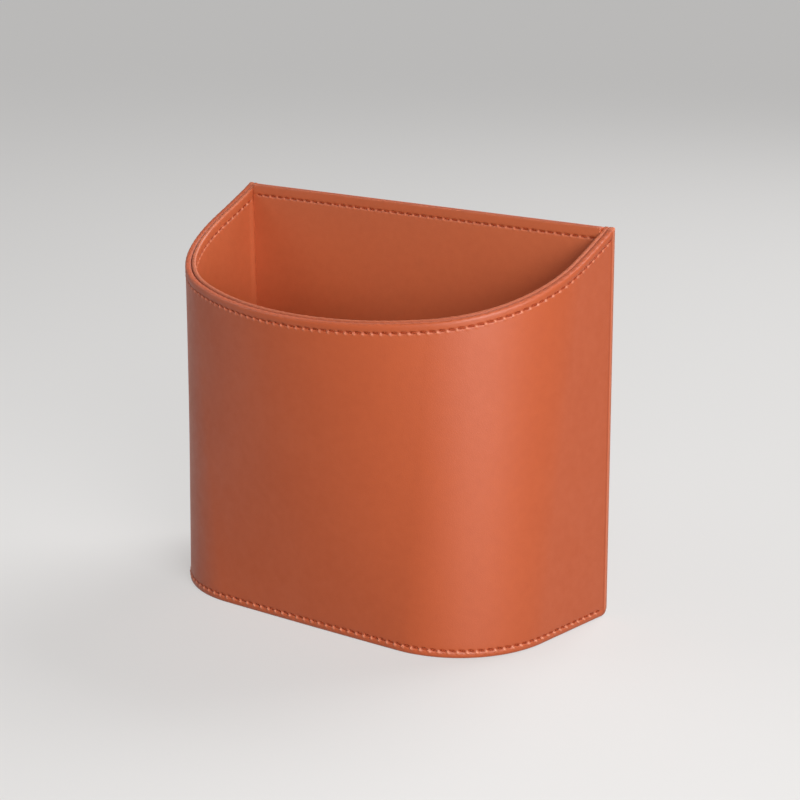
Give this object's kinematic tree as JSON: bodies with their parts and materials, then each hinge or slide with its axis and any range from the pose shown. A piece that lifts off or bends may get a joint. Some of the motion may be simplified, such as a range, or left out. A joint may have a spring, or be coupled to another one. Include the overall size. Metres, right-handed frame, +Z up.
{
  "type": "car trash bin",
  "caption": "Open-topped D-shaped bin of stitched leather with a flat high back, a sloping rim and hook and loop tape that fixes it to a car's door panel.",
  "frame": {"origin": "under the middle of the whole bin, on the surface that it stands on", "axes": "+X to the right seen from the front, +Y to the flat back that lies against the door, +Z up"},
  "size_m": [0.18, 0.0886, 0.1565],
  "materials": {
    "cover_leather": "satin, fine grain",
    "lining_leather": "satin, fine grain",
    "core_board": "matt",
    "loop_tape": "napped",
    "hook_tape": "woven, with a dark adhesive film"
  },
  "bodies": {
    "root": {"front_cover": "cover_leather", "front_core": "core_board", "front_lining": "lining_leather", "back_cover": "cover_leather", "back_core": "core_board", "back_lining": "lining_leather", "base_cover": "cover_leather", "base_core": "core_board", "base_lining": "lining_leather", "loop_tape_left": "loop_tape", "loop_tape_right": "loop_tape", "hook_tape_left": "hook_tape", "hook_tape_right": "hook_tape"}
  },
  "joints": []
}
